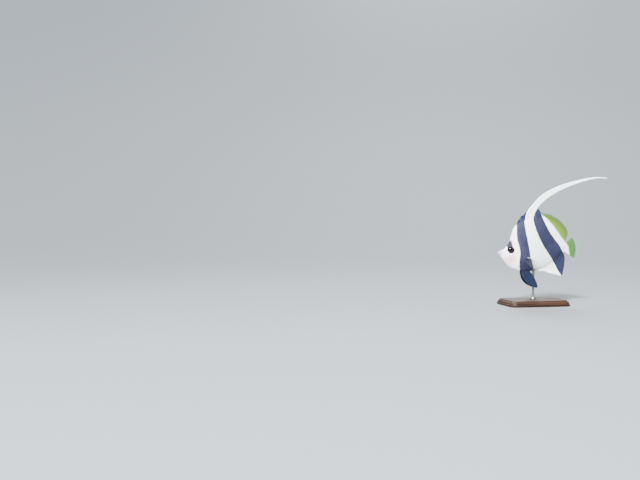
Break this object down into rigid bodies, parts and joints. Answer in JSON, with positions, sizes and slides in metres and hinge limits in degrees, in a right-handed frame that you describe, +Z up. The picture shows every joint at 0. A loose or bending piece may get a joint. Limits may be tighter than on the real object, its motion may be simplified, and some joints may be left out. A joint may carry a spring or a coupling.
{
  "type": "pennant bannerfish",
  "caption": "Life-size still model of a deep-bodied banded reef fish with a long white dorsal filament, held level on a rod and flat base.",
  "frame": {"origin": "centre of the underside of the stand's base", "axes": "+Z up, the snout points to -X, the left flank faces -Y"},
  "size_m": [0.245, 0.084, 0.2672],
  "materials": {
    "face_skin": "moist satin fish skin, pinkish white",
    "body_skin": "satin scaled skin, white with two black bands",
    "fin_black": "satin black fin membrane and rays",
    "fin_yellow": "satin yellow fin membrane and rays, clear at the margin",
    "fin_white": "satin white and black fin membrane and rays",
    "fin_clear": "pale translucent fin membrane",
    "pennant": "satin white filament",
    "eye": "wet gloss, dark",
    "stand_wood": "satin varnished dark hardwood",
    "stand_steel": "brushed"
  },
  "bodies": {
    "root": {"head": "face_skin", "torso": "body_skin", "tail": "body_skin", "eye_left": "eye", "eye_right": "eye", "dorsal_fin_front": "fin_black", "dorsal_pennant_root": "pennant", "dorsal_pennant_middle": "pennant", "dorsal_pennant_tip": "pennant", "dorsal_fin_spines": "fin_black", "dorsal_fin_rays": "fin_yellow", "anal_fin": "fin_white", "tail_fin": "fin_yellow", "pelvic_fin_left": "fin_black", "pelvic_fin_right": "fin_black", "pectoral_fin_left": "fin_clear", "pectoral_fin_right": "fin_clear", "stand_base": "stand_wood", "stand_rod": "stand_steel"}
  },
  "joints": []
}
